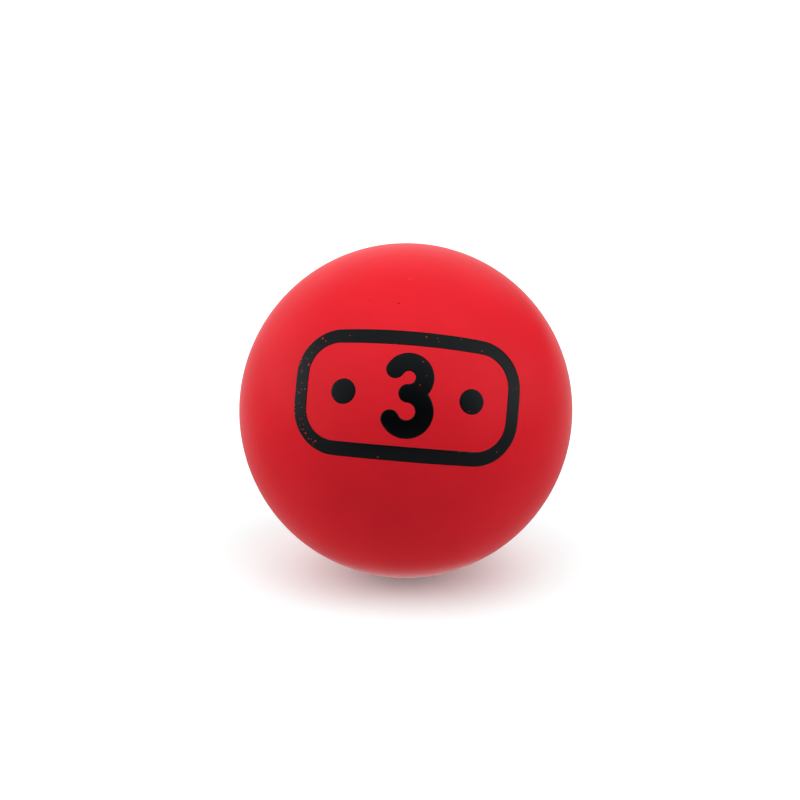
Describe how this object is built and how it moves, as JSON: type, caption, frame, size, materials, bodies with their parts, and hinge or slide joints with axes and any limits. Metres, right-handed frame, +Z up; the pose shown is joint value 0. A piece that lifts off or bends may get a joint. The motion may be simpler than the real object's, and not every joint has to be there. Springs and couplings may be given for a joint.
{
  "type": "foam tennis ball",
  "caption": "Smooth round red foam ball for learning tennis: a soft foam core under a sealer coat and a satin skin pierced by fine needle vents.",
  "frame": {"origin": "centre of the ball", "axes": "+Z up as the ball rests in the picture, -Y towards the viewer and the printed side, +X to the viewer's right"},
  "size_m": [0.085, 0.085, 0.085],
  "materials": {
    "foam": "matte",
    "sealer": "satin",
    "skin": "satin",
    "ink": "satin"
  },
  "bodies": {
    "root": {"foam_core": "foam", "sealer_coat": "sealer", "skin": "skin"}
  },
  "joints": []
}
